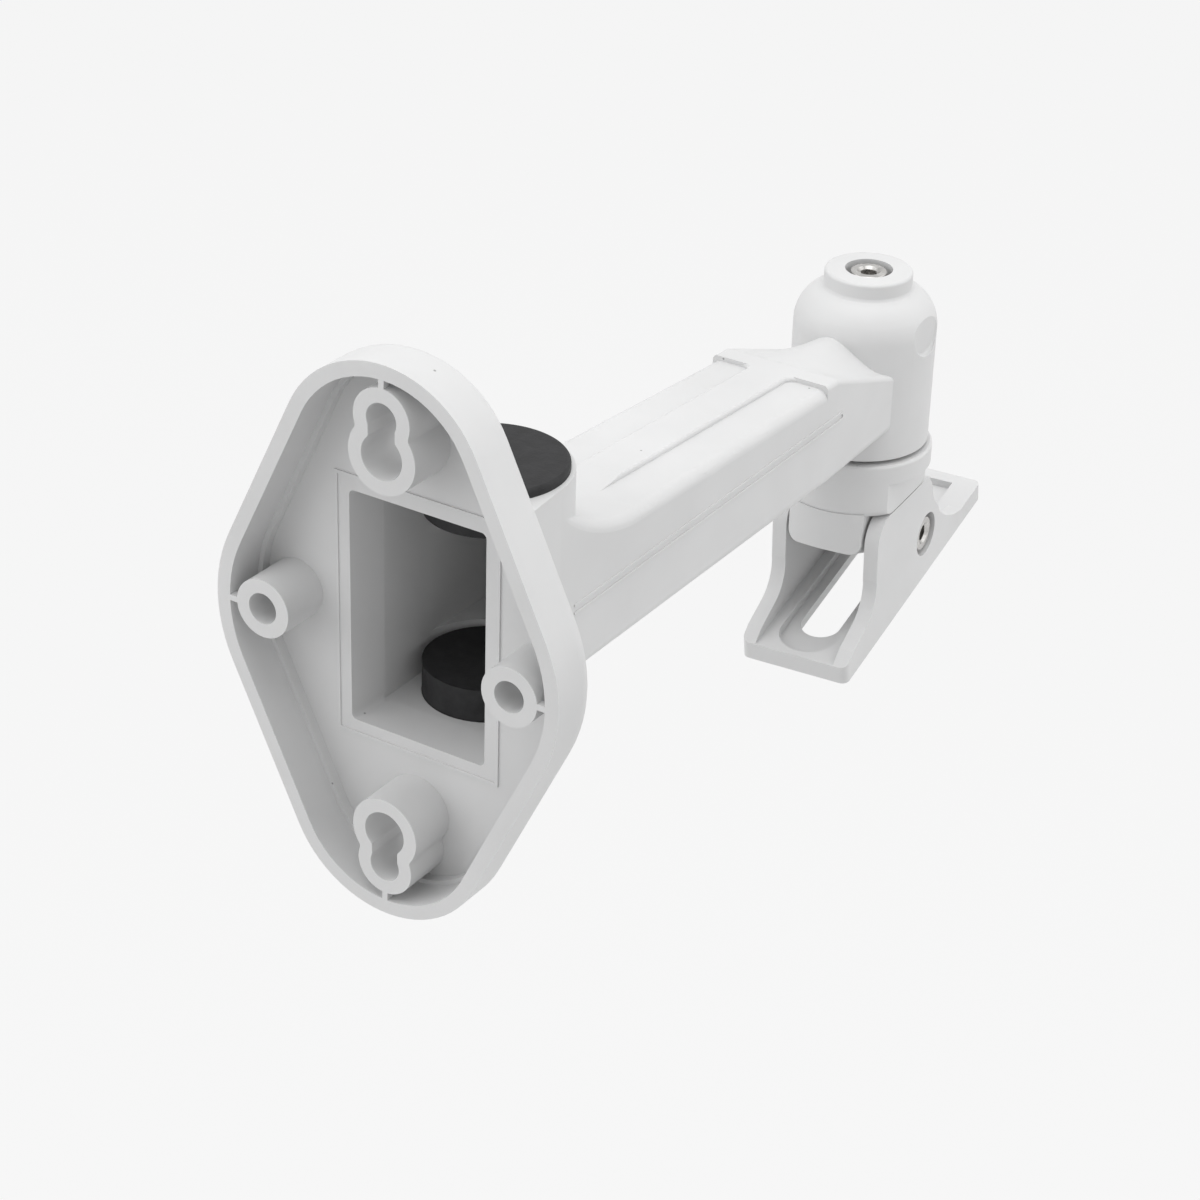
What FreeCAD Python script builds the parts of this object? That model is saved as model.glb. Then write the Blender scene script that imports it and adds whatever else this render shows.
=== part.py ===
import FreeCAD, Part
import math
import os

V = FreeCAD.Vector
UP = V(0, 0, 1)
SIDEWAYS = V(1, 0, 0)
OUTWARD = V(0, -1, 0)

# Wall bracket for a small camera: a moulded wall plate with a hollow arm, two rubber
# cable plugs, a swivel under the arm's head and a tilting camera plate.
# The wall plane is Y = 0, the arm reaches out along -Y, and the origin is midway
# between the two side screw holes. "Reach" is a distance from the wall.

# Wall plate
PLATE_HEIGHT = 97.0
PLATE_WIDTH = 65.0
PLATE_TOP_RADIUS = 19.1
PLATE_SIDE_RADIUS = 26.3
PLATE_DEPTH = 11.0
PLATE_FRONT_ROUND = 4.5
RIM_WALL = 2.5
LEDGE_DEPTH = 7.2
LEDGE_WIDTH = 0.8
PLATE_SKIN = 2.0

# Screw holes and keyholes in the wall plate
SCREW_SPACING = 47.0
SCREW_HOLE_RADIUS = 2.7
BOSS_WALL = 2.4
KEYHOLE_SPACING = 78.8
KEYHOLE_TRAVEL = 6.1
KEYHOLE_SLOT_RADIUS = 2.8
KEYHOLE_HEAD_RADIUS = 3.8
KEYHOLE_WAIST = 5.0
KEYHOLE_WAIST_ROUND = 0.6
GATE_WIDTH = 1.0
GATE_DEPTH = 1.4

# Opening for the cable, and the round hub behind the plate
OPENING_HALF_WIDTH = 13.1
OPENING_HALF_HEIGHT = 20.8
OPENING_CORNER = 1.0
FRAME_OFFSET = 2.0
FRAME_WIDTH = 0.6
FRAME_HEIGHT = 0.25
HUB_REACH = 28.5
HUB_RADIUS = 13.7
HUB_HALF_HEIGHT = 21.2
HUB_DROP = 0.6
HUB_END_WALL = 1.6
NECK_FLARE = 1.7
SHELL_WALL = 1.8
PLUG_HOLE_RADIUS = 10.8

# Arm between hub and head
ARM_STEP_REACH = 118.2
ARM_TIP_HALF_WIDTH = 12.1
ARM_TOP_AT_HUB = 6.5
ARM_TOP_AT_STEP = 3.0
ARM_SWEEP_REACH = 54.0
ARM_SWEEP_START_DROP = 2.4
ARM_BOTTOM_AT_HUB = -15.4
ARM_BOTTOM_AT_STEP = -16.9
ARM_EDGE_ROUND = 2.0
BEAD_HEIGHT = 0.2
BEAD_WIDTH = 1.9
BEAD_LINE = 0.45
BEAD_START_REACH = 33.0
BEAD_END_REACH = 124.0
BEAD_DROP_AT_START = 3.0
BEAD_DROP_AT_END = 4.2
PANEL_HALF_WIDTH = 4.1
PANEL_HEIGHT = 0.9
PANEL_START_REACH = 55.0
PANEL_RAMP = 7.0
PANEL_FLARE = 2.0
PANEL_EDGE_ROUND = 0.6

# Shoulder and crowned neck that join the arm to the head
SHOULDER_LENGTH = 4.3
CROWN_FLARE = 2.6
NECK_EDGE_ROUND = 1.0
NECK_END_HALF_WIDTH = 11.0
NECK_END_SHOULDER = -5.2
NECK_END_CROWN = 1.7

# Head with its upright pan axis
HEAD_REACH = 154.5
HEAD_RADIUS = 13.7
HEAD_BOTTOM = -22.3
HEAD_DOME_TOP = 8.8
HEAD_DOME_ROUND = 8.0
HEAD_BOSS_RADIUS = 8.4
HEAD_BOSS_TOP = 11.6
HEAD_BOSS_ROUND = 0.6
HEAD_WALL = 2.5
HEAD_TUBE_RADIUS = 6.5
HEAD_RECESS_DEPTH = 4.4
DIMPLE_RADIUS = 4.6
DIMPLE_DEPTH = 1.0
DIMPLE_HEIGHT = 1.8
DIMPLE_ROUND = 0.5

# Screws and nuts, metric size 4
SCREW_RADIUS = 2.0
SCREW_HEAD_RADIUS = 3.5
SCREW_HEAD_HEIGHT = 4.0
SCREW_SOCKET_FLATS = 3.0
SCREW_SOCKET_DEPTH = 2.2
SCREW_SOCKET_BEVEL = 0.5
SCREW_HEAD_ROUND = 0.25
SCREW_TIP_BEVEL = 0.4
SCREW_RECESS_RADIUS = 4.55
NUT_FLATS = 7.0
NUT_HEIGHT = 3.2
NUT_CLEARANCE = 0.15
NUT_BEVEL = 0.35
RUNNING_FIT = 0.08
SCREW_TIP = 1.0

# Swivel under the head
SWIVEL_RADIUS = 14.7
SWIVEL_GAP = 0.9
SWIVEL_RIM = 4.0
SWIVEL_HEIGHT = 11.1
SWIVEL_TOP_ROUND = 0.6
SWIVEL_FOOT_ROUND = 2.0
PAN_NUT_DEPTH = 10.0
SPIGOT_CLEARANCE = 0.05
TONGUE_HALF_WIDTH = 7.7
TONGUE_FRONT_HEIGHT = 7.2
TONGUE_CORNER = 2.5
NOSE_HALF_WIDTH = 4.9
NOSE_RADIUS = 6.0

# Camera plate, in its own frame with the tilt axis as origin
TILT_REACH = 13.0
TILT_DROP = 24.6
EAR_HALF_SPAN = 11.2
EAR_THICKNESS = 2.9
EAR_TOP_GAP = 0.3
EAR_BOSS_RADIUS = 6.9
EAR_BOSS_CLEARANCE = 0.3
EAR_POCKET_DEPTH = 4.5
EAR_RAMP_REACH = 35.6
EAR_RAMP_HEIGHT = 1.9
EAR_FOOT_REACH = 29.8
EAR_FOOT_HEIGHT = 3.5
EAR_BEND_REACH = 25.7
EAR_BEND_HEIGHT = 6.2
EAR_WAIST_REACH = 24.3
EAR_WAIST_HEIGHT = 11.0
EAR_BACK_REACH = 23.0
EAR_CORNER_ROUND = 5.0
EAR_BROW_REACH = 1.4
EAR_BROW_SLOPE = 1.5
EAR_BROW_DROP = 2.5
EAR_HOLLOW_REACH = 7.4
EAR_HOLLOW_HEIGHT = 0.6
EAR_TOE_REACH = 18.5
BASE_DROP = 10.0
BASE_THICKNESS = 3.8
BASE_BACK = 38.8
BASE_FRONT = 29.0
BASE_CORNER = 1.5
SLOT_HALF_WIDTH = 4.0
SLOT_BACK = 26.0
SLOT_FRONT = 14.0
TRAY_HALF_WIDTH = 6.0
TRAY_BACK = 31.2
TRAY_FRONT = 26.2
TRAY_DEPTH = 1.7

# Rubber plugs
PLUG_CAP_RADIUS = 12.9
PLUG_CAP_HEIGHT = 1.5
PLUG_CAP_ROUND = 0.6
PLUG_BODY_LENGTH = 7.4
PLUG_BODY_CLEARANCE = 0.1

# How the bracket stands in the photograph, in degrees
PAN_AT_REST = 5.0
TILT_AT_REST = 10.1

FLOOR_DEPTH = PLATE_DEPTH - PLATE_SKIN
SWIVEL_TOP = HEAD_BOTTOM - SWIVEL_GAP
SWIVEL_BOTTOM = SWIVEL_TOP - SWIVEL_HEIGHT
HUB_TOP = HUB_HALF_HEIGHT - HUB_DROP
HUB_BOTTOM = -HUB_HALF_HEIGHT - HUB_DROP
TILT_HEIGHT = SWIVEL_TOP - TILT_DROP
OVERLAP = 1.0


def at(x, reach, z):
    return V(x, -reach, z)


def prism(points, direction):
    wire = Part.makePolygon(points + [points[0]])
    return Part.Face(wire).extrude(direction)


def block(x, reach_from, reach_to, z_from, z_to):
    corner = V(-x, -reach_to, z_from)
    return Part.makeBox(2 * x, reach_to - reach_from, z_to - z_from, corner)


def upright_cylinder(radius, reach, z_from, z_to):
    return Part.makeCylinder(radius, z_to - z_from, at(0, reach, z_from), UP)


def hexagon(flats, length, centre, direction):
    radius = flats / math.sqrt(3)
    side = SIDEWAYS if abs(direction.z) > 0.5 else UP
    other = direction.cross(side)
    corners = []
    for turn in range(6):
        angle = math.radians(60 * turn)
        corners.append(centre + side * (radius * math.cos(angle)) + other * (radius * math.sin(angle)))
    return prism(corners, direction * length)


def rounded(shape, radius, wanted):
    edges = [edge for edge in shape.Edges if wanted(edge)]
    return shape.makeFillet(radius, edges)


def along(edge, axis):
    ends = [vertex.Point for vertex in edge.Vertexes]
    if len(ends) < 2:
        return False
    line = (ends[1] - ends[0]).normalize()
    return abs(line.dot(axis)) > 0.97


# Wall plate

def plate_outline(inset):
    """The plate's rounded diamond, pulled in by inset, as a face in the wall plane."""
    top = PLATE_TOP_RADIUS - inset
    side = PLATE_SIDE_RADIUS - inset
    top_centre = V(0, 0, PLATE_HEIGHT / 2 - PLATE_TOP_RADIUS)
    side_centre = V(PLATE_WIDTH / 2 - PLATE_SIDE_RADIUS, 0, 0)
    step = side_centre - top_centre
    lean = math.acos((PLATE_TOP_RADIUS - PLATE_SIDE_RADIUS) / step.Length)
    heading = math.atan2(step.z, step.x) + lean
    normal = V(math.cos(heading), 0, math.sin(heading))
    upper = top_centre + normal * top
    outer = side_centre + normal * side
    left_upper = V(-upper.x, 0, upper.z)
    left_outer = V(-outer.x, 0, outer.z)
    right_lower = V(outer.x, 0, -outer.z)
    lower = V(upper.x, 0, -upper.z)
    left_lower = V(-upper.x, 0, -upper.z)
    left_side = V(-outer.x, 0, -outer.z)
    edges = [
        Part.Arc(left_upper, top_centre + V(0, 0, top), upper).toShape(),
        Part.LineSegment(upper, outer).toShape(),
        Part.Arc(outer, side_centre + V(side, 0, 0), right_lower).toShape(),
        Part.LineSegment(right_lower, lower).toShape(),
        Part.Arc(lower, V(0, 0, -top_centre.z - top), left_lower).toShape(),
        Part.LineSegment(left_lower, left_side).toShape(),
        Part.Arc(left_side, V(-side_centre.x - side, 0, 0), left_outer).toShape(),
        Part.LineSegment(left_outer, left_upper).toShape(),
    ]
    return Part.Face(Part.Wire(edges))


def plate_shell():
    body = plate_outline(0).extrude(OUTWARD * PLATE_DEPTH)
    body = rounded(body, PLATE_FRONT_ROUND, lambda edge: edge.BoundBox.YMax < -PLATE_DEPTH + 0.01)
    recess = plate_outline(RIM_WALL).extrude(OUTWARD * LEDGE_DEPTH)
    well = plate_outline(RIM_WALL + LEDGE_WIDTH).extrude(OUTWARD * FLOOR_DEPTH)
    return body.cut(recess.fuse(well))


def keyhole(extra, depth, side):
    slot_z = side * KEYHOLE_SPACING / 2
    head_z = side * (KEYHOLE_SPACING / 2 - KEYHOLE_TRAVEL)
    slot = Part.makeCylinder(KEYHOLE_SLOT_RADIUS + extra, depth, V(0, 0, slot_z), OUTWARD)
    head = Part.makeCylinder(KEYHOLE_HEAD_RADIUS + extra, depth, V(0, 0, head_z), OUTWARD)
    waist = KEYHOLE_WAIST / 2 + extra
    low = min(slot_z, head_z)
    bar = Part.makeBox(2 * waist, depth, KEYHOLE_TRAVEL, V(-waist, -depth, low))
    outline = slot.fuse([head, bar]).removeSplitter()
    return rounded(outline, KEYHOLE_WAIST_ROUND, lambda edge: is_waist_corner(edge, waist))


def is_waist_corner(edge, waist):
    return along(edge, OUTWARD) and abs(abs(edge.CenterOfMass.x) - waist) < 0.01


def screw_hole(extra, depth, side):
    centre = V(side * SCREW_SPACING / 2, 0, 0)
    return Part.makeCylinder(SCREW_HOLE_RADIUS + extra, depth, centre, OUTWARD)


def plate_bosses():
    depth = FLOOR_DEPTH + PLATE_SKIN / 2
    bosses = screw_hole(BOSS_WALL, depth, 1)
    bosses = bosses.fuse(screw_hole(BOSS_WALL, depth, -1))
    bosses = bosses.fuse(keyhole(BOSS_WALL, depth, 1))
    bosses = bosses.fuse(keyhole(BOSS_WALL, depth, -1))
    return bosses.fuse([gate_webs(), opening_frame()])


def gate_webs():
    """Thin webs that join the bosses to the rim."""
    half = GATE_WIDTH / 2
    screw_x = SCREW_SPACING / 2
    keyhole_z = KEYHOLE_SPACING / 2
    side_run = (PLATE_WIDTH - RIM_WALL) / 2 - screw_x
    end_run = (PLATE_HEIGHT - RIM_WALL) / 2 - keyhole_z
    right = Part.makeBox(side_run, GATE_DEPTH, GATE_WIDTH, V(screw_x, -GATE_DEPTH, -half))
    left = Part.makeBox(side_run, GATE_DEPTH, GATE_WIDTH, V(-screw_x - side_run, -GATE_DEPTH, -half))
    upper = Part.makeBox(GATE_WIDTH, GATE_DEPTH, end_run, V(-half, -GATE_DEPTH, keyhole_z))
    lower = Part.makeBox(GATE_WIDTH, GATE_DEPTH, end_run, V(-half, -GATE_DEPTH, -keyhole_z - end_run))
    return right.fuse([left, upper, lower])


def opening_frame():
    """Fine raised line round the opening."""
    depth = FRAME_HEIGHT + PLATE_SKIN / 2

    def slab(offset):
        half_width = OPENING_HALF_WIDTH + offset
        half_height = OPENING_HALF_HEIGHT + offset
        corner = V(-half_width, -FLOOR_DEPTH - PLATE_SKIN / 2, -half_height)
        return Part.makeBox(2 * half_width, depth, 2 * half_height, corner)

    return slab(FRAME_OFFSET + FRAME_WIDTH).cut(slab(FRAME_OFFSET))


def plate_holes():
    depth = PLATE_DEPTH + OVERLAP
    holes = screw_hole(0, depth, 1)
    holes = holes.fuse(screw_hole(0, depth, -1))
    holes = holes.fuse(keyhole(0, depth, 1))
    return holes.fuse(keyhole(0, depth, -1))


# Hub and arm

def arm_half_width(reach):
    share = (reach - HUB_REACH) / (ARM_STEP_REACH - HUB_REACH)
    return HUB_RADIUS + share * (ARM_TIP_HALF_WIDTH - HUB_RADIUS)


def arm_top(reach):
    share = (reach - ARM_SWEEP_REACH) / (ARM_STEP_REACH - ARM_SWEEP_REACH)
    return ARM_TOP_AT_HUB + share * (ARM_TOP_AT_STEP - ARM_TOP_AT_HUB)


def arm_bottom(reach):
    share = (reach - HUB_REACH) / (ARM_STEP_REACH - HUB_REACH)
    return ARM_BOTTOM_AT_HUB + share * (ARM_BOTTOM_AT_STEP - ARM_BOTTOM_AT_HUB)


def hub_outside():
    """Round hub and the neck that widens from it to the plate."""
    root = FLOOR_DEPTH + PLATE_SKIN / 2
    near = HUB_REACH - HUB_RADIUS
    wide = HUB_RADIUS + NECK_FLARE
    hub = upright_cylinder(HUB_RADIUS, HUB_REACH, HUB_BOTTOM, HUB_TOP)
    plan = [
        at(-wide, root, 0),
        at(-HUB_RADIUS, HUB_REACH, 0),
        at(HUB_RADIUS, HUB_REACH, 0),
        at(wide, root, 0),
    ]
    tall = OPENING_HALF_HEIGHT + SHELL_WALL
    neck = prism([point - UP * tall for point in plan], UP * 2 * tall)
    side = [
        V(-wide, -root, -tall),
        V(-wide, -near, HUB_BOTTOM),
        V(-wide, -HUB_REACH, HUB_BOTTOM),
        V(-wide, -HUB_REACH, HUB_TOP),
        V(-wide, -near, HUB_TOP),
        V(-wide, -root, tall),
    ]
    return hub.fuse(neck.common(prism(side, SIDEWAYS * 2 * wide)))


def hub_inside():
    """Cable space from the plate's opening through the neck into the hub."""
    start = FLOOR_DEPTH - OVERLAP
    inner = HUB_RADIUS - SHELL_WALL
    floor = HUB_BOTTOM + HUB_END_WALL
    ceiling = HUB_TOP - HUB_END_WALL
    neck_end = HUB_REACH - HUB_RADIUS + SHELL_WALL

    def section(reach, half_width, low, high):
        corners = [
            at(-half_width, reach, low),
            at(half_width, reach, low),
            at(half_width, reach, high),
            at(-half_width, reach, high),
        ]
        return Part.makePolygon(corners + [corners[0]])

    mouth = section(start, OPENING_HALF_WIDTH, -OPENING_HALF_HEIGHT, OPENING_HALF_HEIGHT)
    throat = section(neck_end, inner, floor, ceiling)
    neck = Part.makeLoft([mouth, throat], True, True)
    neck = rounded(neck, OPENING_CORNER, lambda edge: edge.BoundBox.YLength > OVERLAP)
    passage = block(inner, neck_end - OVERLAP / 2, HUB_REACH, floor, ceiling)
    chamber = upright_cylinder(inner, HUB_REACH, floor, ceiling)
    return neck.fuse([passage, chamber])


def plug_holes():
    through = HUB_END_WALL + OVERLAP
    upper = upright_cylinder(PLUG_HOLE_RADIUS, HUB_REACH, HUB_TOP - through, HUB_TOP + OVERLAP)
    lower = upright_cylinder(PLUG_HOLE_RADIUS, HUB_REACH, HUB_BOTTOM - OVERLAP, HUB_BOTTOM + through)
    return upper.fuse(lower)


def corner_arc(side, half_width, reach, height, radius, vertical):
    """Ends and middle of a round corner: on the level edge, halfway, and on the upright edge."""
    x = side * (half_width - radius)
    slant = radius * math.sqrt(0.5)
    level = at(x, reach, height)
    middle = at(x + side * slant, reach, height - vertical * (radius - slant))
    upright = at(side * half_width, reach, height - vertical * radius)
    return level, middle, upright


def lower_corners(reach, half_width, bottom):
    """Both lower corners of a section of the arm or the neck."""
    left = corner_arc(-1, half_width, reach, bottom, ARM_EDGE_ROUND, -1)
    right = corner_arc(1, half_width, reach, bottom, ARM_EDGE_ROUND, -1)
    return left, right


def trough_section(reach):
    """Section of the arm with round lower corners, open-ended upwards."""
    left, right = lower_corners(reach, arm_half_width(reach), arm_bottom(reach))
    high_left = at(left[2].x, reach, 2 * HUB_HALF_HEIGHT)
    high_right = at(right[2].x, reach, 2 * HUB_HALF_HEIGHT)
    return Part.Wire([
        Part.LineSegment(left[0], right[0]).toShape(),
        Part.Arc(right[0], right[1], right[2]).toShape(),
        Part.LineSegment(right[2], high_right).toShape(),
        Part.LineSegment(high_right, high_left).toShape(),
        Part.LineSegment(high_left, left[2]).toShape(),
        Part.Arc(left[2], left[1], left[0]).toShape(),
    ])


def arm_outside():
    """Tapered arm whose top sweeps up into the hub."""
    end = ARM_STEP_REACH
    slope = math.atan2(ARM_TOP_AT_HUB - ARM_TOP_AT_STEP, ARM_STEP_REACH - ARM_SWEEP_REACH)
    back = ARM_SWEEP_REACH - HUB_REACH
    rise = HUB_TOP - ARM_SWEEP_START_DROP - ARM_TOP_AT_HUB
    radius = (back ** 2 + rise ** 2) / (2 * (rise * math.cos(slope) - back * math.sin(slope)))
    centre_reach = ARM_SWEEP_REACH + radius * math.sin(slope)
    centre_z = ARM_TOP_AT_HUB + radius * math.cos(slope)

    def on_sweep(reach):
        drop = math.sqrt(radius ** 2 - (centre_reach - reach) ** 2)
        return at(-2 * HUB_RADIUS, reach, centre_z - drop)

    left = -2 * HUB_RADIUS
    start = at(left, HUB_REACH, on_sweep(HUB_REACH).z)
    tangent = at(left, ARM_SWEEP_REACH, ARM_TOP_AT_HUB)
    tip_top = at(left, end, arm_top(end))
    tip_bottom = at(left, end, -2 * HUB_HALF_HEIGHT)
    root_bottom = at(left, HUB_REACH, -2 * HUB_HALF_HEIGHT)
    middle = on_sweep((HUB_REACH + ARM_SWEEP_REACH) / 2)
    profile = Part.Wire([
        Part.Arc(start, middle, tangent).toShape(),
        Part.LineSegment(tangent, tip_top).toShape(),
        Part.LineSegment(tip_top, tip_bottom).toShape(),
        Part.LineSegment(tip_bottom, root_bottom).toShape(),
        Part.LineSegment(root_bottom, start).toShape(),
    ])
    side_view = Part.Face(profile).extrude(SIDEWAYS * 4 * HUB_RADIUS)
    trough = Part.makeLoft([trough_section(HUB_REACH), trough_section(end)], True, True)
    return rounded(side_view.common(trough), ARM_EDGE_ROUND, is_top_arm_edge)


def is_top_arm_edge(edge):
    box = edge.BoundBox
    return box.YLength > 10 * ARM_EDGE_ROUND and box.ZMin > ARM_TOP_AT_STEP - ARM_EDGE_ROUND / 2


def arm_inside():
    """Cable space in the arm, which ends in a wall before the head."""
    start = HUB_REACH
    end = HEAD_REACH - HEAD_RADIUS - SHELL_WALL

    def section(reach):
        half_width = arm_half_width(reach) - SHELL_WALL
        low = arm_bottom(reach) + SHELL_WALL
        high = min(arm_top(reach), ARM_TOP_AT_HUB) - SHELL_WALL
        if reach > ARM_STEP_REACH:
            high = NECK_END_SHOULDER
            half_width = NECK_END_HALF_WIDTH - SHELL_WALL
        corners = [at(-half_width, reach, low), at(half_width, reach, low)]
        corners += [at(half_width, reach, high), at(-half_width, reach, high)]
        return Part.makePolygon(corners + [corners[0]])

    main = Part.makeLoft([section(start), section(ARM_STEP_REACH)], True, True)
    tip = Part.makeLoft([section(ARM_STEP_REACH), section(end)], True, True)
    return main.fuse(tip)


def panel_top(reach):
    return arm_top(reach) + PANEL_HEIGHT


def arm_panel():
    """Raised panel down the middle of the arm's top: it ramps up, then runs flush into the shoulder."""
    end = ARM_STEP_REACH
    past_end = end + OVERLAP / 2
    narrow = PANEL_HALF_WIDTH
    wide = PANEL_HALF_WIDTH + PANEL_FLARE
    slant = PANEL_FLARE * math.sqrt(0.5)
    left_turn = at(-wide + slant, end - PANEL_FLARE + slant, 0)
    right_turn = at(wide - slant, end - PANEL_FLARE + slant, 0)
    start_left = at(-narrow, PANEL_START_REACH, 0)
    start_right = at(narrow, PANEL_START_REACH, 0)
    right_low = at(narrow, end - PANEL_FLARE, 0)
    right_high = at(wide, end, 0)
    left_low = at(-narrow, end - PANEL_FLARE, 0)
    left_high = at(-wide, end, 0)
    outline = Part.Wire([
        Part.LineSegment(start_left, start_right).toShape(),
        Part.LineSegment(start_right, right_low).toShape(),
        Part.Arc(right_low, right_turn, right_high).toShape(),
        Part.LineSegment(right_high, at(wide, past_end, 0)).toShape(),
        Part.LineSegment(at(wide, past_end, 0), at(-wide, past_end, 0)).toShape(),
        Part.LineSegment(at(-wide, past_end, 0), left_high).toShape(),
        Part.Arc(left_high, left_turn, left_low).toShape(),
        Part.LineSegment(left_low, start_left).toShape(),
    ])
    tall = 2 * panel_top(PANEL_START_REACH)
    body = Part.Face(outline).extrude(UP * tall)
    ramp_end = PANEL_START_REACH + PANEL_RAMP
    above = [
        at(-wide, 0, panel_top(0)),
        at(-wide, 2 * end, panel_top(2 * end)),
        at(-wide, 2 * end, 2 * tall),
        at(-wide, 0, 2 * tall),
    ]
    above_ramp = [
        at(-wide, PANEL_START_REACH, arm_top(PANEL_START_REACH)),
        at(-wide, ramp_end, panel_top(ramp_end)),
        at(-wide, ramp_end, tall),
        at(-wide, PANEL_START_REACH, tall),
    ]
    body = body.cut(prism(above, SIDEWAYS * 2 * wide))
    body = rounded(body, PANEL_EDGE_ROUND, is_panel_top_edge)
    return body.cut(prism(above_ramp, SIDEWAYS * 2 * wide))


def is_panel_top_edge(edge):
    middle = edge.CenterOfMass
    return edge.BoundBox.YLength > OVERLAP and abs(middle.z - panel_top(-middle.y)) < 0.02


def bead_bar(side, half_width):
    """Bar with a round end along the middle of the arm's side, partly sunk into its wall."""
    thick = SHELL_WALL / 2
    inner = side * (arm_half_width(BEAD_START_REACH) - thick)
    start = V(inner, -BEAD_START_REACH, -BEAD_DROP_AT_START)
    end_x = side * (arm_half_width(BEAD_END_REACH) - thick)
    finish = V(end_x, -BEAD_END_REACH, -BEAD_DROP_AT_END)
    run = V(0, finish.y - start.y, finish.z - start.z).normalize()
    lift = V(0, run.z, -run.y) * half_width
    corners = [start - lift, finish - lift, finish + lift, start + lift]
    bar = prism(corners, SIDEWAYS * side * (thick + BEAD_HEIGHT))
    end_round = Part.makeCylinder(half_width, thick + BEAD_HEIGHT, finish, SIDEWAYS * side)
    return bar.fuse(end_round)


def arm_bead(side):
    """Fine double bead, closed at its far end."""
    outside = bead_bar(side, BEAD_WIDTH / 2)
    return outside.cut(bead_bar(side, BEAD_WIDTH / 2 - BEAD_LINE))


def neck_section(reach, half_width, shoulder, crown):
    """Outline of the neck: flat below, upright at the sides, and bell-shaped on top."""
    low_left, low_right = lower_corners(reach, half_width, arm_bottom(ARM_STEP_REACH))
    high_left = corner_arc(-1, half_width, reach, shoulder, NECK_EDGE_ROUND, 1)
    high_right = corner_arc(1, half_width, reach, shoulder, NECK_EDGE_ROUND, 1)
    steps = 6
    top = []
    for step in range(-steps, steps + 1):
        share = step / steps
        bell = (1 - share ** 2) ** CROWN_FLARE
        top.append(at(share * high_right[0].x, reach, shoulder + bell * (crown - shoulder)))
    spline = Part.BSplineCurve()
    spline.interpolate(top)
    return Part.Wire([
        Part.LineSegment(low_left[0], low_right[0]).toShape(),
        Part.Arc(low_right[0], low_right[1], low_right[2]).toShape(),
        Part.LineSegment(low_right[2], high_right[2]).toShape(),
        Part.Arc(high_right[2], high_right[1], high_right[0]).toShape(),
        spline.toShape(),
        Part.Arc(high_left[0], high_left[1], high_left[2]).toShape(),
        Part.LineSegment(high_left[2], low_left[2]).toShape(),
        Part.Arc(low_left[2], low_left[1], low_left[0]).toShape(),
    ])


def shoulder_and_neck():
    """Raised shoulder at the arm's end, and the neck crowned over towards the head."""
    start = ARM_STEP_REACH
    turn = ARM_STEP_REACH + SHOULDER_LENGTH
    end = HEAD_REACH - HEAD_RADIUS * math.cos(math.asin(NECK_END_HALF_WIDTH / HEAD_RADIUS)) + OVERLAP
    first = neck_section(start, arm_half_width(start), panel_top(start), panel_top(start))
    second = neck_section(turn, arm_half_width(turn), panel_top(turn), panel_top(turn))
    last = neck_section(end, NECK_END_HALF_WIDTH, NECK_END_SHOULDER, NECK_END_CROWN)
    shoulder = Part.makeLoft([first, second], True, True)
    neck = Part.makeLoft([second, last], True, True)
    return shoulder.fuse(neck)


# Head

def head_outside():
    flat = HEAD_RADIUS - HEAD_DOME_ROUND
    rise = HEAD_DOME_TOP - HEAD_DOME_ROUND
    reach_out = HEAD_BOSS_RADIUS - flat
    foot = rise + math.sqrt(HEAD_DOME_ROUND ** 2 - reach_out ** 2)
    half = math.acos(reach_out / HEAD_DOME_ROUND) / 2
    middle = V(flat + HEAD_DOME_ROUND * math.cos(half), 0, rise + HEAD_DOME_ROUND * math.sin(half))
    side_top = V(HEAD_RADIUS, 0, rise)
    boss_foot = V(HEAD_BOSS_RADIUS, 0, foot)
    boss_top = V(HEAD_BOSS_RADIUS, 0, HEAD_BOSS_TOP)
    axis_top = V(0, 0, HEAD_BOSS_TOP)
    axis_low = V(0, 0, HEAD_BOTTOM)
    side_low = V(HEAD_RADIUS, 0, HEAD_BOTTOM)
    wire = Part.Wire([
        Part.LineSegment(axis_low, side_low).toShape(),
        Part.LineSegment(side_low, side_top).toShape(),
        Part.Arc(side_top, middle, boss_foot).toShape(),
        Part.LineSegment(boss_foot, boss_top).toShape(),
        Part.LineSegment(boss_top, axis_top).toShape(),
        Part.LineSegment(axis_top, axis_low).toShape(),
    ])
    head = Part.Face(wire).revolve(V(0, 0, 0), UP, 360)
    head.translate(at(0, HEAD_REACH, 0))
    head = rounded(head, HEAD_BOSS_ROUND, lambda edge: edge.BoundBox.ZMin > HEAD_BOSS_TOP - 0.01)
    return rounded(head, HEAD_BOSS_ROUND, lambda edge: is_level_ring(edge, foot))


def is_level_ring(edge, height):
    return max(abs(edge.BoundBox.ZMin - height), abs(edge.BoundBox.ZMax - height)) < 0.01


def head_openings():
    """Screw recess and bore, and the hollow under the head round its centre tube."""
    recess_floor = HEAD_BOSS_TOP - HEAD_RECESS_DEPTH
    recess = upright_cylinder(SCREW_RECESS_RADIUS, HEAD_REACH, recess_floor, HEAD_BOSS_TOP + OVERLAP)
    bore = upright_cylinder(SCREW_RADIUS + RUNNING_FIT, HEAD_REACH, HEAD_BOTTOM - OVERLAP, HEAD_BOSS_TOP)
    ceiling = HEAD_DOME_TOP - HEAD_DOME_ROUND
    hollow = upright_cylinder(HEAD_RADIUS - HEAD_WALL, HEAD_REACH, HEAD_BOTTOM - OVERLAP, ceiling)
    tube = upright_cylinder(HEAD_TUBE_RADIUS, HEAD_REACH, HEAD_BOTTOM - 2 * OVERLAP, ceiling + OVERLAP)
    return recess.fuse([bore, hollow.cut(tube)])


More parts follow.
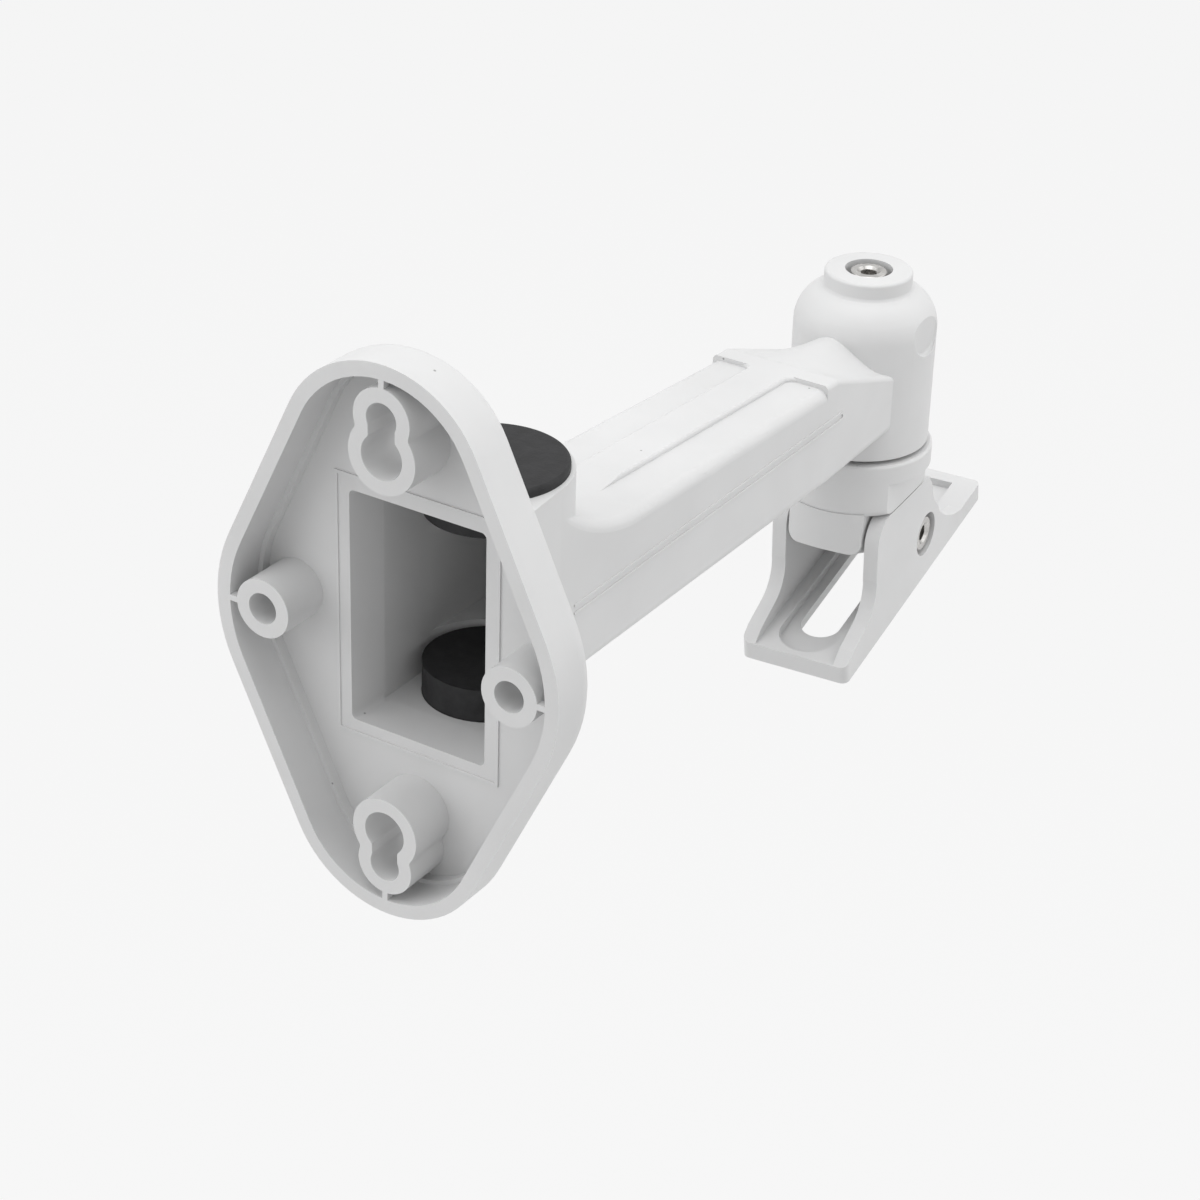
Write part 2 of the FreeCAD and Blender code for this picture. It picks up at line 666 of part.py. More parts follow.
def head_dimple(side):
    """Shallow round hollow in the head's flank."""
    floor = V(side * (HEAD_RADIUS - DIMPLE_DEPTH), -HEAD_REACH, DIMPLE_HEIGHT)
    cutter = Part.makeCylinder(DIMPLE_RADIUS, HEAD_RADIUS, floor, SIDEWAYS * side)
    inner = abs(floor.x)
    return rounded(cutter, DIMPLE_ROUND, lambda edge: abs(edge.CenterOfMass.x) < inner + 0.01)


def wall_arm():
    shell = plate_shell().fuse([plate_bosses(), hub_outside(), arm_outside(), shoulder_and_neck()])
    shell = shell.fuse([arm_panel(), arm_bead(1), arm_bead(-1), head_outside()])
    hollow = hub_inside().fuse(arm_inside())
    shell = shell.cut([hollow, plate_holes(), plug_holes(), head_openings()])
    return shell.cut([head_dimple(1), head_dimple(-1)]).removeSplitter()


# Rubber plugs

def cable_plug(outer_face, direction):
    """Round cap on the hub's end, with a body that fills the hub's hole."""
    centre = at(0, HUB_REACH, outer_face)
    cap = Part.makeCylinder(PLUG_CAP_RADIUS, PLUG_CAP_HEIGHT, centre, direction)
    outside = outer_face + direction.z * PLUG_CAP_HEIGHT
    cap = rounded(cap, PLUG_CAP_ROUND, lambda edge: is_cap_rim(edge, outside))
    body = Part.makeCylinder(PLUG_HOLE_RADIUS - PLUG_BODY_CLEARANCE, PLUG_BODY_LENGTH, centre, -direction)
    return cap.fuse(body).removeSplitter()


def is_cap_rim(edge, height):
    return abs(edge.BoundBox.ZMin - height) < 0.01 and edge.BoundBox.XLength > PLUG_CAP_RADIUS


# Screws and nuts

def socket_screw(length):
    """Screw along +Z, with the seat of its head at the origin and the head above it."""
    head = Part.makeCylinder(SCREW_HEAD_RADIUS, SCREW_HEAD_HEIGHT)
    head = rounded(head, SCREW_HEAD_ROUND, lambda edge: edge.BoundBox.ZMin > SCREW_HEAD_HEIGHT - 0.01)
    shank = Part.makeCylinder(SCREW_RADIUS, length, V(0, 0, 0), -UP)
    tip_edges = [edge for edge in shank.Edges if is_level_ring(edge, -length)]
    shank = shank.makeChamfer(SCREW_TIP_BEVEL, tip_edges)
    socket_floor = V(0, 0, SCREW_HEAD_HEIGHT - SCREW_SOCKET_DEPTH)
    socket = hexagon(SCREW_SOCKET_FLATS, SCREW_SOCKET_DEPTH + OVERLAP, socket_floor, UP)
    mouth = SCREW_SOCKET_FLATS / math.sqrt(3) + SCREW_SOCKET_BEVEL
    bevel_floor = V(0, 0, SCREW_HEAD_HEIGHT - SCREW_SOCKET_BEVEL)
    bevel = Part.makeCone(mouth - SCREW_SOCKET_BEVEL, mouth, SCREW_SOCKET_BEVEL, bevel_floor)
    return head.fuse(shank).cut([socket, bevel])


def hexagon_nut():
    """Nut along +Z with its lower face at the origin."""
    body = hexagon(NUT_FLATS, NUT_HEIGHT, V(0, 0, 0), UP)
    turned = Part.makeCylinder(NUT_FLATS / math.sqrt(3), NUT_HEIGHT)
    end_rings = [edge for edge in turned.Edges if len(edge.Vertexes) == 1]
    body = body.common(turned.makeChamfer(NUT_BEVEL, end_rings))
    return body.cut(Part.makeCylinder(SCREW_RADIUS, NUT_HEIGHT))


# Swivel, built about the pan axis and turned to its place at the end

def swivel():
    rim_low = SWIVEL_TOP - SWIVEL_RIM
    disc = Part.makeCylinder(SWIVEL_RADIUS, SWIVEL_HEIGHT, V(0, 0, SWIVEL_BOTTOM))
    disc = rounded(disc, SWIVEL_TOP_ROUND, lambda edge: is_level_ring(edge, SWIVEL_TOP))
    disc = rounded(disc, SWIVEL_FOOT_ROUND, lambda edge: is_level_ring(edge, SWIVEL_BOTTOM))
    spigot_top = HEAD_BOTTOM - SPIGOT_CLEARANCE
    spigot_low = SWIVEL_TOP - OVERLAP
    spigot = Part.makeCylinder(HEAD_TUBE_RADIUS, spigot_top - spigot_low, V(0, 0, spigot_low))
    wide = 2 * SWIVEL_RADIUS
    waist = Part.makeBox(2 * EAR_HALF_SPAN, wide, wide, V(-EAR_HALF_SPAN, -SWIVEL_RADIUS, rim_low - wide))
    rim = Part.makeCylinder(wide, wide, V(0, 0, rim_low))
    body = disc.common(waist.fuse(rim)).fuse([spigot, tongue()])
    bore = Part.makeCylinder(SCREW_RADIUS + RUNNING_FIT, wide + SWIVEL_GAP, V(0, 0, HEAD_BOTTOM - wide))
    nut_top = SWIVEL_TOP - PAN_NUT_DEPTH
    nut_pocket = hexagon(NUT_FLATS + 2 * NUT_CLEARANCE, wide, V(0, 0, nut_top - wide), UP)
    pin_start = V(-wide, -TILT_REACH, TILT_HEIGHT)
    pin_hole = Part.makeCylinder(SCREW_RADIUS + RUNNING_FIT, 2 * wide, pin_start, SIDEWAYS)
    return body.cut([bore, nut_pocket, pin_hole])


def tongue():
    """Tongue below the disc, with a narrower nose round the tilt axis."""
    front_low = SWIVEL_BOTTOM - TONGUE_FRONT_HEIGHT
    lean = math.atan2(TILT_HEIGHT - NOSE_RADIUS - front_low, TILT_REACH + SWIVEL_RADIUS)
    nose_low = V(0, -TILT_REACH + NOSE_RADIUS * math.sin(lean), TILT_HEIGHT - NOSE_RADIUS * math.cos(lean))
    nose_tip = V(0, -TILT_REACH - NOSE_RADIUS, TILT_HEIGHT)
    back = SWIVEL_RADIUS
    back_high = V(0, back, SWIVEL_BOTTOM + OVERLAP)
    back_low = V(0, back, front_low)
    front_high = V(0, -SWIVEL_RADIUS, SWIVEL_BOTTOM + OVERLAP)
    wire = Part.Wire([
        Part.LineSegment(back_high, back_low).toShape(),
        Part.LineSegment(back_low, nose_low).toShape(),
        Part.Arc(nose_low, nose_arc_point(nose_low), nose_tip).toShape(),
        Part.LineSegment(nose_tip, front_high).toShape(),
        Part.LineSegment(front_high, back_high).toShape(),
    ])
    body = Part.Face(wire).extrude(SIDEWAYS * 2 * TONGUE_HALF_WIDTH)
    body.translate(-SIDEWAYS * TONGUE_HALF_WIDTH)
    body = rounded(body, TONGUE_CORNER, is_tongue_underside_edge)
    tall = 4 * SWIVEL_RADIUS
    round_back = Part.makeCylinder(SWIVEL_RADIUS, tall, V(0, 0, SWIVEL_TOP - tall))
    front_half = Part.makeBox(tall, tall, tall, V(-tall / 2, -tall, SWIVEL_TOP - tall))
    body = body.common(round_back.fuse(front_half))
    centre = V(0, -TILT_REACH, TILT_HEIGHT)
    relief_radius = EAR_BOSS_RADIUS + EAR_BOSS_CLEARANCE
    relief = Part.makeCylinder(relief_radius, tall, centre - SIDEWAYS * tall / 2, SIDEWAYS)
    core = Part.makeCylinder(tall, 2 * NOSE_HALF_WIDTH, centre - SIDEWAYS * NOSE_HALF_WIDTH, SIDEWAYS)
    return body.cut(relief.cut(core))


def is_tongue_underside_edge(edge):
    box = edge.BoundBox
    return box.XLength < 0.01 and box.YLength > SWIVEL_RADIUS and box.ZMax < SWIVEL_BOTTOM


def nose_arc_point(start):
    """A point of the nose's arc, halfway between its lowest point and its tip."""
    begin = math.atan2(start.z - TILT_HEIGHT, start.y + TILT_REACH)
    half = (begin - math.pi) / 2
    return V(0, -TILT_REACH + NOSE_RADIUS * math.cos(half), TILT_HEIGHT + NOSE_RADIUS * math.sin(half))


# Camera plate, built about the tilt axis: +Y towards the wall, +Z away from the base

def base_top():
    return BASE_THICKNESS - BASE_DROP


def ear_top(y):
    """Height of the ear's top edge, which lies level under the swivel at rest."""
    tilt = math.radians(TILT_AT_REST)
    rise = SWIVEL_BOTTOM - EAR_TOP_GAP - TILT_HEIGHT
    along_y = (y + rise * math.sin(tilt)) / math.cos(tilt)
    return along_y * math.sin(tilt) + rise * math.cos(tilt)


def ear_profile():
    base = -BASE_DROP
    top = base_top()
    brow_height = ear_top(-EAR_BROW_REACH)
    back_low = V(0, BASE_BACK, base)
    back_high = V(0, BASE_BACK, top)
    ramp = V(0, EAR_RAMP_REACH, top + EAR_RAMP_HEIGHT)
    ear_foot = V(0, EAR_FOOT_REACH, top + EAR_FOOT_HEIGHT)
    bend = V(0, EAR_BEND_REACH, top + EAR_BEND_HEIGHT)
    waist = V(0, EAR_WAIST_REACH, top + EAR_WAIST_HEIGHT)
    corner = V(0, EAR_BACK_REACH, ear_top(EAR_BACK_REACH))
    brow = V(0, -EAR_BROW_REACH, brow_height)
    brow_low = V(0, -EAR_BROW_REACH - EAR_BROW_SLOPE, brow_height - EAR_BROW_DROP)
    hollow = V(0, -EAR_HOLLOW_REACH, EAR_HOLLOW_HEIGHT)
    toe = V(0, -EAR_TOE_REACH, top)
    front_high = V(0, -BASE_FRONT, top)
    front_low = V(0, -BASE_FRONT, base)
    return Part.Wire([
        Part.LineSegment(back_low, back_high).toShape(),
        Part.LineSegment(back_high, ramp).toShape(),
        Part.LineSegment(ramp, ear_foot).toShape(),
        Part.Arc(ear_foot, bend, waist).toShape(),
        Part.LineSegment(waist, corner).toShape(),
        Part.LineSegment(corner, brow).toShape(),
        Part.LineSegment(brow, brow_low).toShape(),
        Part.Arc(brow_low, hollow, toe).toShape(),
        Part.LineSegment(toe, front_high).toShape(),
        Part.LineSegment(front_high, front_low).toShape(),
        Part.LineSegment(front_low, back_low).toShape(),
    ])


def long_slot(half_width, back, front, z_from, z_to):
    """Upright slot with round ends, between two centres on the plate's midline."""
    height = z_to - z_from
    bar = Part.makeBox(2 * half_width, back + front, height, V(-half_width, -front, z_from))
    back_end = Part.makeCylinder(half_width, height, V(0, back, z_from))
    front_end = Part.makeCylinder(half_width, height, V(0, -front, z_from))
    return bar.fuse([back_end, front_end])


def camera_plate():
    side_view = Part.Face(ear_profile()).extrude(SIDEWAYS * 2 * EAR_HALF_SPAN)
    side_view.translate(-SIDEWAYS * EAR_HALF_SPAN)
    side_view = rounded(side_view, BASE_CORNER, is_upright_corner)
    side_view = rounded(side_view, EAR_CORNER_ROUND, is_ear_corner)
    inner = EAR_HALF_SPAN - EAR_THICKNESS
    tall = 2 * BASE_BACK
    gap = Part.makeBox(2 * inner, 2 * tall, tall, V(-inner, -tall, base_top()))
    body = side_view.cut(gap)
    body = body.fuse([ear_boss(1), ear_boss(-1)])
    slot = long_slot(SLOT_HALF_WIDTH, SLOT_BACK, SLOT_FRONT, -BASE_DROP - OVERLAP, base_top() + OVERLAP)
    head_seat = V(-screw_seat(), 0, 0)
    nut_seat = V(screw_seat(), 0, 0)
    head_pocket = Part.makeCylinder(SCREW_RECESS_RADIUS, EAR_HALF_SPAN, head_seat, -SIDEWAYS)
    nut_pocket = hexagon(NUT_FLATS + 2 * NUT_CLEARANCE, EAR_HALF_SPAN, nut_seat, SIDEWAYS)
    wide = 2 * EAR_HALF_SPAN
    bore = Part.makeCylinder(SCREW_RADIUS + RUNNING_FIT, 2 * wide, -SIDEWAYS * wide, SIDEWAYS)
    return body.cut([camera_tray(), slot, head_pocket, nut_pocket, bore])


def camera_tray():
    """Shallow tray for the head of the camera's screw, round at the back and square at the front."""
    depth = TRAY_DEPTH + OVERLAP
    floor = base_top() - TRAY_DEPTH
    corner = V(-TRAY_HALF_WIDTH, -TRAY_FRONT, floor)
    bar = Part.makeBox(2 * TRAY_HALF_WIDTH, TRAY_BACK + TRAY_FRONT, depth, corner)
    return bar.fuse(Part.makeCylinder(TRAY_HALF_WIDTH, depth, V(0, TRAY_BACK, floor)))


def is_ear_corner(edge):
    middle = edge.CenterOfMass
    ends_here = abs(middle.y - EAR_BACK_REACH) < 0.01 and abs(middle.x) < 0.01
    return ends_here and abs(middle.z - ear_top(EAR_BACK_REACH)) < 0.01


def is_upright_corner(edge):
    at_end = edge.BoundBox.YMin > BASE_BACK - 0.01 or edge.BoundBox.YMax < -BASE_FRONT + 0.01
    return at_end and along(edge, UP)


def ear_boss_face():
    return NOSE_HALF_WIDTH + EAR_BOSS_CLEARANCE


def screw_seat():
    return EAR_HALF_SPAN - EAR_POCKET_DEPTH


def ear_boss(side):
    length = EAR_HALF_SPAN - ear_boss_face()
    start = SIDEWAYS * side * ear_boss_face()
    return Part.makeCylinder(EAR_BOSS_RADIUS, length, start, SIDEWAYS * side)


# Placing and writing

def on_swivel(shape):
    """Turn a shape built about the pan axis to where the swivel stands."""
    shape.rotate(V(0, 0, 0), UP, PAN_AT_REST)
    shape.translate(at(0, HEAD_REACH, 0))
    return shape


def on_camera_plate(shape):
    """Tilt a shape built about the tilt axis, and hang it on the swivel."""
    shape.rotate(V(0, 0, 0), SIDEWAYS, -TILT_AT_REST)
    shape.translate(V(0, -TILT_REACH, TILT_HEIGHT))
    return on_swivel(shape)


def pan_screw():
    seat = HEAD_BOSS_TOP - HEAD_RECESS_DEPTH
    nut_low = SWIVEL_TOP - PAN_NUT_DEPTH - NUT_HEIGHT
    screw = socket_screw(seat - nut_low + SCREW_TIP)
    screw.translate(V(0, 0, seat))
    return on_swivel(screw)


def pan_nut():
    nut = hexagon_nut()
    nut.translate(V(0, 0, SWIVEL_TOP - PAN_NUT_DEPTH - NUT_HEIGHT))
    return on_swivel(nut)


def tilt_screw():
    screw = socket_screw(2 * screw_seat() + NUT_HEIGHT)
    screw.rotate(V(0, 0, 0), V(0, 1, 0), -90)
    screw.translate(V(-screw_seat(), 0, 0))
    return on_camera_plate(screw)


def tilt_nut():
    nut = hexagon_nut()
    nut.rotate(V(0, 0, 0), V(0, 1, 0), 90)
    nut.translate(V(screw_seat(), 0, 0))
    return on_camera_plate(nut)


def main():
    parts = {
        "wall_arm": wall_arm(),
        "upper_cable_plug": cable_plug(HUB_TOP, UP),
        "lower_cable_plug": cable_plug(HUB_BOTTOM, -UP),
        "swivel": on_swivel(swivel()),
        "camera_plate": on_camera_plate(camera_plate()),
        "pan_screw": pan_screw(),
        "pan_nut": pan_nut(),
        "tilt_screw": tilt_screw(),
        "tilt_nut": tilt_nut(),
    }
    os.makedirs("parts", exist_ok=True)
    for name, shape in parts.items():
        shape.exportStep("parts/" + name + ".step")
        print(name, len(shape.Solids), "solid", round(shape.Volume), "mm3", shape.isValid())


main()
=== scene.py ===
import math

import bpy
from mathutils import Matrix, Vector


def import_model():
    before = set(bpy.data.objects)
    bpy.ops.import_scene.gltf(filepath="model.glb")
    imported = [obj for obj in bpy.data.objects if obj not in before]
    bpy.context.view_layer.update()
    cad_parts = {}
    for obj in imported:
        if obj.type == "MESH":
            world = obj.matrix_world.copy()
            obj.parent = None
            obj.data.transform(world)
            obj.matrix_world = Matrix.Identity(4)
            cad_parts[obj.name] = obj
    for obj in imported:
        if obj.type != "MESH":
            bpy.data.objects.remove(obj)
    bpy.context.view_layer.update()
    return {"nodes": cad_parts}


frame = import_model()
nodes = frame["nodes"]

# The solids of the frame carry the whole shape. This script gives them their materials
# and sets up the floor, the light and the camera of the photograph. Lengths are metres.

WHITE_PLASTIC = (0.660, 0.661, 0.662, 1.0)
BLACK_RUBBER = (0.026, 0.026, 0.027, 1.0)
STEEL = (0.560, 0.550, 0.535, 1.0)

# Camera, fitted to the photograph. Angles are degrees, the picture's measures are pixels,
# and the sensor's width is millimetres.
PHOTO_SIZE = 1200
PHOTO_FOCAL_PIXELS = 3110.7
PHOTO_CENTRE = (594.7, 635.4)
CAMERA_PLACE = (-0.2485, 0.3344, 0.2385)
CAMERA_AZIMUTH = 212.14
CAMERA_ELEVATION = 29.44
CAMERA_ROLL = -1.74
CAMERA_NEAREST = 0.01
SENSOR = 36.0

# Floor and background. SEEN is what the camera and reflections get to see, and
# SHADOW_SHARE is how much of the lit floor, with its shadow, is mixed into that.
FLOOR_HEIGHT = -0.60
FLOOR_SIZE = 12.0
FLOOR_COLOUR = (0.72, 0.72, 0.72, 1.0)
FLOOR_SEEN = (0.946, 0.946, 0.946, 1.0)
BACKGROUND_SEEN = (0.922, 0.922, 0.922, 1.0)
SHADOW_SHARE = 0.10

# Light: a dim dome that grows brighter with height, and three wide lamps
WHITE_LIGHT = (1.0, 1.0, 1.0, 1.0)
AMBIENT_AT_HORIZON = 0.46
AMBIENT_AT_ZENITH = 0.96
LAMP_TARGET = (0.0, -0.08, 0.0)

# Places of sockets that share a name with others, in the Mix and the Mix Shader node
MIX_FACTOR = 0
MIX_COLOUR_A = 6
MIX_COLOUR_B = 7
MIX_COLOUR_RESULT = 2
MIX_SHADER_FIRST = 1
MIX_SHADER_SECOND = 2


def new_material(name):
    """A node material with its tree and its Principled shader."""
    material = bpy.data.materials.new(name)
    material.use_nodes = True
    tree = material.node_tree
    shader = tree.nodes["Principled BSDF"]
    return material, tree, shader


def object_coordinates(tree):
    return tree.nodes.new("ShaderNodeTexCoord").outputs["Object"]


def noise(tree, coordinates, scale, detail, roughness=0.5):
    """A noise value from 0 to 1, finer where the scale is larger."""
    node = tree.nodes.new("ShaderNodeTexNoise")
    node.inputs["Scale"].default_value = scale
    node.inputs["Detail"].default_value = detail
    node.inputs["Roughness"].default_value = roughness
    tree.links.new(coordinates, node.inputs["Vector"])
    return node.outputs["Fac"]


def ramp(tree, value, low, high, dark, light):
    """The colour dark where the value is low, light where it is high, and mixed between."""
    node = tree.nodes.new("ShaderNodeValToRGB")
    node.color_ramp.elements[0].position = low
    node.color_ramp.elements[0].color = dark
    node.color_ramp.elements[1].position = high
    node.color_ramp.elements[1].color = light
    tree.links.new(value, node.inputs["Fac"])
    return node.outputs["Color"]


def spread(tree, value, low, high):
    """The value from 0 to 1 spread over the range from low to high."""
    node = tree.nodes.new("ShaderNodeMapRange")
    node.inputs["To Min"].default_value = low
    node.inputs["To Max"].default_value = high
    tree.links.new(value, node.inputs["Value"])
    return node.outputs["Result"]


def speckled(tree, coordinates, colour, scale, inner, outer, speck):
    """The colour with sparse round specks, where the surface cuts the centres of cells."""
    cells = tree.nodes.new("ShaderNodeTexVoronoi")
    cells.inputs["Scale"].default_value = scale
    tree.links.new(coordinates, cells.inputs["Vector"])
    edge = tree.nodes.new("ShaderNodeMapRange")
    edge.inputs["From Min"].default_value = inner
    edge.inputs["From Max"].default_value = outer
    tree.links.new(cells.outputs["Distance"], edge.inputs["Value"])
    mix = tree.nodes.new("ShaderNodeMix")
    mix.data_type = "RGBA"
    tree.links.new(edge.outputs["Result"], mix.inputs[MIX_FACTOR])
    mix.inputs[MIX_COLOUR_A].default_value = speck
    tree.links.new(colour, mix.inputs[MIX_COLOUR_B])
    return mix.outputs[MIX_COLOUR_RESULT]


def bump(tree, height, strength, distance, before=None):
    """A normal bumped by the height, on top of an earlier bump where one is given."""
    node = tree.nodes.new("ShaderNodeBump")
    node.inputs["Strength"].default_value = strength
    node.inputs["Distance"].default_value = distance
    tree.links.new(height, node.inputs["Height"])
    if before is not None:
        tree.links.new(before, node.inputs["Normal"])
    return node.outputs["Normal"]


def mixed_shader(tree, share, first, second):
    """The first shader, replaced by the second in the given share."""
    mix = tree.nodes.new("ShaderNodeMixShader")
    tree.links.new(share, mix.inputs["Fac"])
    tree.links.new(first.outputs[0], mix.inputs[MIX_SHADER_FIRST])
    tree.links.new(second.outputs[0], mix.inputs[MIX_SHADER_SECOND])
    return mix.outputs[0]


def shade(colour, amount):
    """The colour made darker or lighter by the amount, and opaque."""
    return (colour[0] * amount, colour[1] * amount, colour[2] * amount, 1.0)


def white_plastic():
    """Moulded white plastic: a satin skin with a faint waviness, a fine grain and dust specks."""
    material, tree, shader = new_material("white_plastic")
    where = object_coordinates(tree)
    cloudy = noise(tree, where, scale=45.0, detail=3.0)
    fine = noise(tree, where, scale=1400.0, detail=2.0)
    wavy = noise(tree, where, scale=120.0, detail=2.0)
    dull = shade(WHITE_PLASTIC, 0.96)
    clear = shade(WHITE_PLASTIC, 1.03)
    speck = shade(WHITE_PLASTIC, 0.45)
    colour = ramp(tree, cloudy, low=0.3, high=0.7, dark=dull, light=clear)
    colour = speckled(tree, where, colour, scale=110.0, inner=0.016, outer=0.030, speck=speck)
    tree.links.new(colour, shader.inputs["Base Color"])
    tree.links.new(spread(tree, cloudy, low=0.40, high=0.50), shader.inputs["Roughness"])
    waves = bump(tree, wavy, strength=0.10, distance=0.0004)
    grain = bump(tree, fine, strength=0.06, distance=0.00005, before=waves)
    tree.links.new(grain, shader.inputs["Normal"])
    shader.inputs["Specular IOR Level"].default_value = 0.40
    shader.inputs["IOR"].default_value = 1.49
    shader.inputs["Subsurface Weight"].default_value = 0.05
    shader.inputs["Subsurface Radius"].default_value = (0.0012, 0.0011, 0.0010)
    shader.inputs["Subsurface Scale"].default_value = 1.0
    return material


def black_rubber():
    """Moulded black rubber: matt and lightly mottled, with a fine grain."""
    material, tree, shader = new_material("black_rubber")
    where = object_coordinates(tree)
    mottled = noise(tree, where, scale=420.0, detail=5.0, roughness=0.65)
    fine = noise(tree, where, scale=2600.0, detail=3.0)
    dark = shade(BLACK_RUBBER, 0.75)
    light = shade(BLACK_RUBBER, 1.45)
    colour = ramp(tree, mottled, low=0.25, high=0.75, dark=dark, light=light)
    tree.links.new(colour, shader.inputs["Base Color"])
    tree.links.new(spread(tree, mottled, low=0.50, high=0.66), shader.inputs["Roughness"])
    coarse = bump(tree, mottled, strength=0.35, distance=0.0003)
    grain = bump(tree, fine, strength=0.25, distance=0.00006, before=coarse)
    tree.links.new(grain, shader.inputs["Normal"])
    shader.inputs["Specular IOR Level"].default_value = 0.20
    return material


def bright_steel():
    """Plated steel with faint turning marks and stains."""
    material, tree, shader = new_material("bright_steel")
    where = object_coordinates(tree)
    stains = noise(tree, where, scale=500.0, detail=4.0, roughness=0.6)
    marks = noise(tree, where, scale=3200.0, detail=2.0)
    stained = shade(STEEL, 0.75)
    clean = shade(STEEL, 1.15)
    colour = ramp(tree, stains, low=0.3, high=0.75, dark=stained, light=clean)
    tree.links.new(colour, shader.inputs["Base Color"])
    tree.links.new(spread(tree, stains, low=0.18, high=0.34), shader.inputs["Roughness"])
    turned = bump(tree, marks, strength=0.15, distance=0.00004)
    tree.links.new(turned, shader.inputs["Normal"])
    shader.inputs["Metallic"].default_value = 1.0
    return material


def give(material, node_names):
    """Puts the material on these nodes of the frame, in place of what they had."""
    for node_name in node_names:
        mesh = nodes[node_name].data
        mesh.materials.clear()
        mesh.materials.append(material)


def seen_directly(tree):
    """One for camera, glossy and transmission rays, which see the plain background."""
    path = tree.nodes.new("ShaderNodeLightPath")
    total = path.outputs["Is Camera Ray"]
    for kind in ("Is Glossy Ray", "Is Transmission Ray"):
        either = tree.nodes.new("ShaderNodeMath")
        either.operation = "MAXIMUM"
        tree.links.new(total, either.inputs[0])
        tree.links.new(path.outputs[kind], either.inputs[1])
        total = either.outputs[0]
    return total


def floor():
    """Pale floor whose own colour stands for the background; a small share keeps the shadow."""
    bpy.ops.mesh.primitive_plane_add(size=FLOOR_SIZE, location=(0.0, 0.0, FLOOR_HEIGHT))
    plane = bpy.context.object
    plane.name = "floor"
    material, tree, shader = new_material("pale_floor")
    faint = noise(tree, object_coordinates(tree), scale=3.0, detail=2.0)
    dark = shade(FLOOR_COLOUR, 0.99)
    light = shade(FLOOR_COLOUR, 1.01)
    colour = ramp(tree, faint, low=0.2, high=0.8, dark=dark, light=light)
    tree.links.new(colour, shader.inputs["Base Color"])
    shader.inputs["Roughness"].default_value = 1.0
    shader.inputs["Specular IOR Level"].default_value = 0.0
    plain = tree.nodes.new("ShaderNodeEmission")
    plain.inputs["Color"].default_value = FLOOR_SEEN
    plain.inputs["Strength"].default_value = 1.0
    share = tree.nodes.new("ShaderNodeMath")
    share.operation = "MULTIPLY"
    share.inputs[1].default_value = 1.0 - SHADOW_SHARE
    tree.links.new(seen_directly(tree), share.inputs[0])
    surface = mixed_shader(tree, share.outputs[0], shader, plain)
    tree.links.new(surface, tree.nodes["Material Output"].inputs["Surface"])
    plane.data.materials.append(material)


def world():
    """White dome light, stronger overhead; the background that is seen is plain."""
    scene_world = bpy.data.worlds.new("studio")
    bpy.context.scene.world = scene_world
    scene_world.use_nodes = True
    tree = scene_world.node_tree
    tree.nodes.clear()
    output = tree.nodes.new("ShaderNodeOutputWorld")
    direction = tree.nodes.new("ShaderNodeTexCoord").outputs["Generated"]
    split = tree.nodes.new("ShaderNodeSeparateXYZ")
    tree.links.new(direction, split.inputs["Vector"])
    level = spread(tree, split.outputs["Z"], AMBIENT_AT_HORIZON, AMBIENT_AT_ZENITH)
    ambient = tree.nodes.new("ShaderNodeBackground")
    ambient.inputs["Color"].default_value = WHITE_LIGHT
    tree.links.new(level, ambient.inputs["Strength"])
    plain = tree.nodes.new("ShaderNodeBackground")
    plain.inputs["Color"].default_value = BACKGROUND_SEEN
    plain.inputs["Strength"].default_value = 1.0
    surface = mixed_shader(tree, seen_directly(tree), ambient, plain)
    tree.links.new(surface, output.inputs["Surface"])


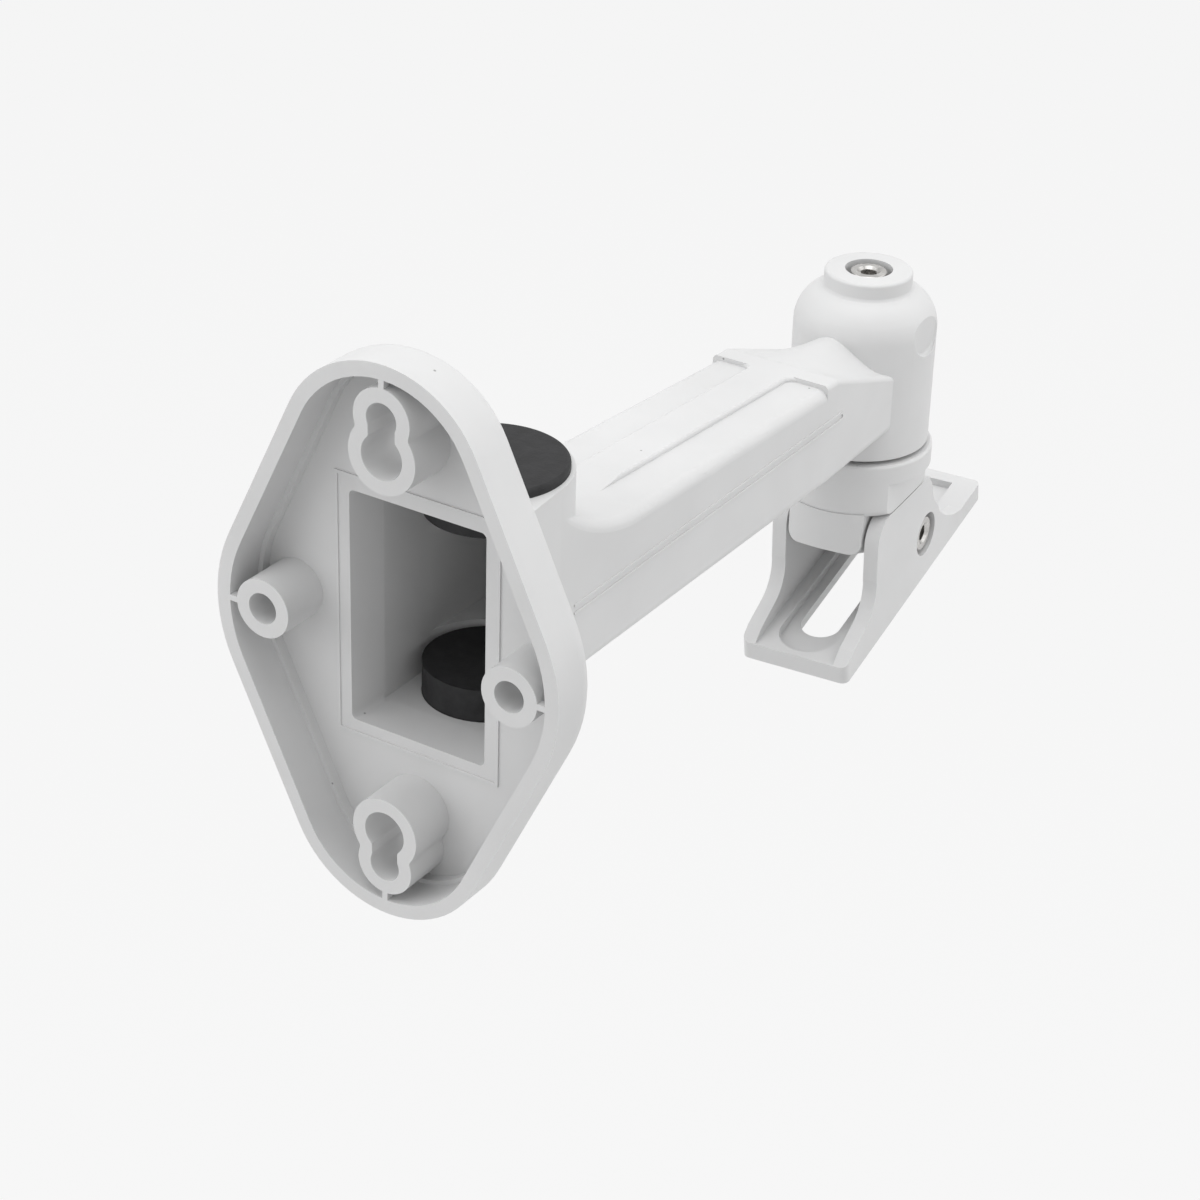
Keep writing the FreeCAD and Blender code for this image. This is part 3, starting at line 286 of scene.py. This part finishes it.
def lamp(name, place, size, power):
    """A square lamp that faces the bracket and that the camera doesn't see."""
    data = bpy.data.lights.new(name, "AREA")
    data.shape = "SQUARE"
    data.size = size
    data.energy = power
    lamp_object = bpy.data.objects.new(name, data)
    bpy.context.scene.collection.objects.link(lamp_object)
    lamp_object.location = place
    lamp_object.visible_camera = False
    heading = Vector(LAMP_TARGET) - Vector(place)
    lamp_object.rotation_euler = heading.to_track_quat("-Z", "Y").to_euler()


def photo_camera():
    """The photograph's camera, from its place, its direction and its focal length."""
    azimuth = math.radians(CAMERA_AZIMUTH)
    elevation = math.radians(CAMERA_ELEVATION)
    roll = math.radians(CAMERA_ROLL)
    back = Vector((
        math.sin(azimuth) * math.cos(elevation),
        -math.cos(azimuth) * math.cos(elevation),
        math.sin(elevation),
    ))
    right = (-back).cross(Vector((0.0, 0.0, 1.0))).normalized()
    down = (-back).cross(right)
    turned_right = right * math.cos(roll) + down * math.sin(roll)
    turned_down = down * math.cos(roll) - right * math.sin(roll)
    camera_data = bpy.data.cameras.new("photo_camera")
    camera_data.sensor_width = SENSOR
    camera_data.lens = PHOTO_FOCAL_PIXELS * SENSOR / PHOTO_SIZE
    camera_data.shift_x = (PHOTO_SIZE / 2 - PHOTO_CENTRE[0]) / PHOTO_SIZE
    camera_data.shift_y = (PHOTO_CENTRE[1] - PHOTO_SIZE / 2) / PHOTO_SIZE
    camera_data.clip_start = CAMERA_NEAREST
    camera = bpy.data.objects.new("photo_camera", camera_data)
    bpy.context.scene.collection.objects.link(camera)
    rotation = Matrix((turned_right, -turned_down, back)).transposed().to_4x4()
    camera.matrix_world = Matrix.Translation(Vector(CAMERA_PLACE)) @ rotation
    bpy.context.scene.camera = camera


give(white_plastic(), ("wall_arm", "swivel", "camera_plate"))
give(black_rubber(), ("upper_cable_plug", "lower_cable_plug"))
give(bright_steel(), ("pan_screw", "pan_nut", "tilt_screw", "tilt_nut"))

floor()
world()
lamp("overhead", place=(-0.05, -0.05, 1.10), size=0.9, power=4.6)
lamp("left_softbox", place=(0.72, 0.72, 0.40), size=1.2, power=4.8)
lamp("right_softbox", place=(-0.86, -0.60, 0.40), size=1.2, power=3.8)
photo_camera()
bpy.context.scene.view_settings.view_transform = "Standard"
